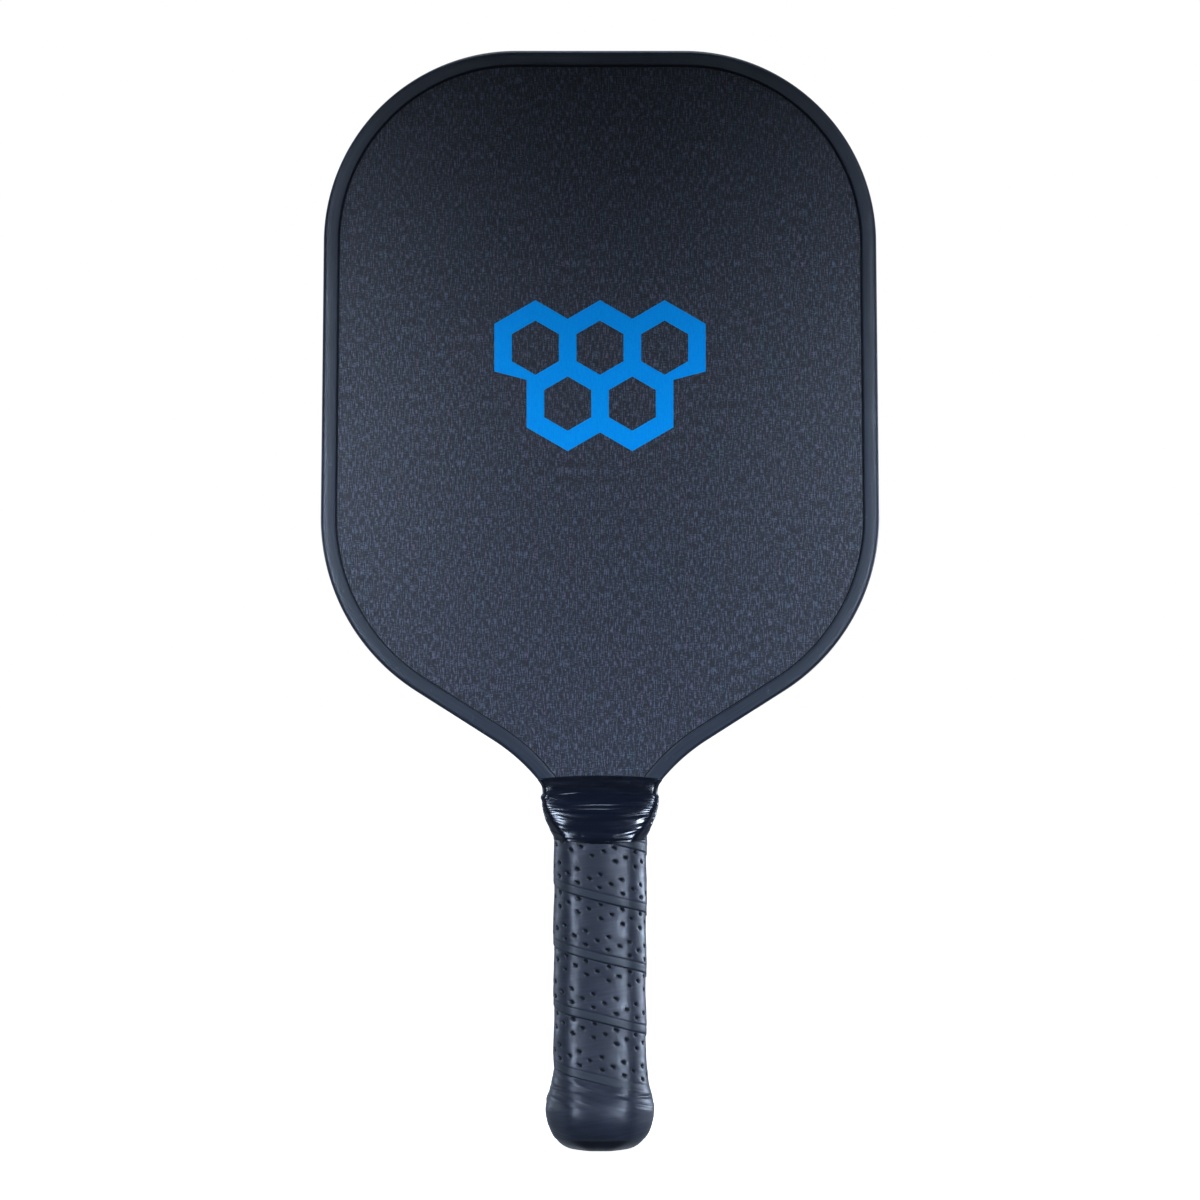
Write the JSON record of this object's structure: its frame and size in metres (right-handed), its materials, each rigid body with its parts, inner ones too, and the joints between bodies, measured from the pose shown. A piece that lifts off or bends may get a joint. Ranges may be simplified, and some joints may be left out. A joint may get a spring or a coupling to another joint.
{
  "type": "pickleball paddle",
  "caption": "Pickleball paddle with a rounded woven-composite head, moulded edge guard, and a wrapped handle with flared butt.",
  "frame": {"origin": "centre of the flat butt end of the handle, at the paddle's lowest point", "axes": "+Z along the paddle's length from butt to head, X across the head's width, -Y out of the front face"},
  "size_m": [0.2032, 0.0361, 0.4],
  "materials": {
    "core_polymer": "translucent matt polymer",
    "adhesive_film": "cured clear amber",
    "face_weave": "satin woven composite",
    "print_ink": "satin screen print",
    "guard_plastic": "satin moulded",
    "bond_adhesive": "cured adhesive",
    "pallet_foam": "dense foam",
    "double_sided_tape": "soft tape",
    "staple_wire": "drawn wire",
    "cap_plastic": "satin moulded",
    "badge_plastic": "gloss moulded",
    "grip_cushion": "satin perforated synthetic leather",
    "finishing_tape": "satin tape",
    "collar_film": "gloss stretched film"
  },
  "bodies": {
    "root": {"honeycomb_core": "core_polymer", "front_adhesive_film": "adhesive_film", "back_adhesive_film": "adhesive_film", "front_face_sheet": "face_weave", "back_face_sheet": "face_weave", "front_emblem": "print_ink", "back_emblem": "print_ink", "edge_guard": "guard_plastic", "edge_bond_strip": "bond_adhesive", "front_handle_pallet": "pallet_foam", "back_handle_pallet": "pallet_foam", "front_pallet_tape": "double_sided_tape", "back_pallet_tape": "double_sided_tape", "front_butt_cap_staple": "staple_wire", "back_butt_cap_staple": "staple_wire", "butt_cap": "cap_plastic", "butt_badge_disc": "badge_plastic", "grip_wrap": "grip_cushion", "grip_finishing_tape": "finishing_tape", "throat_collar": "collar_film"}
  },
  "joints": []
}
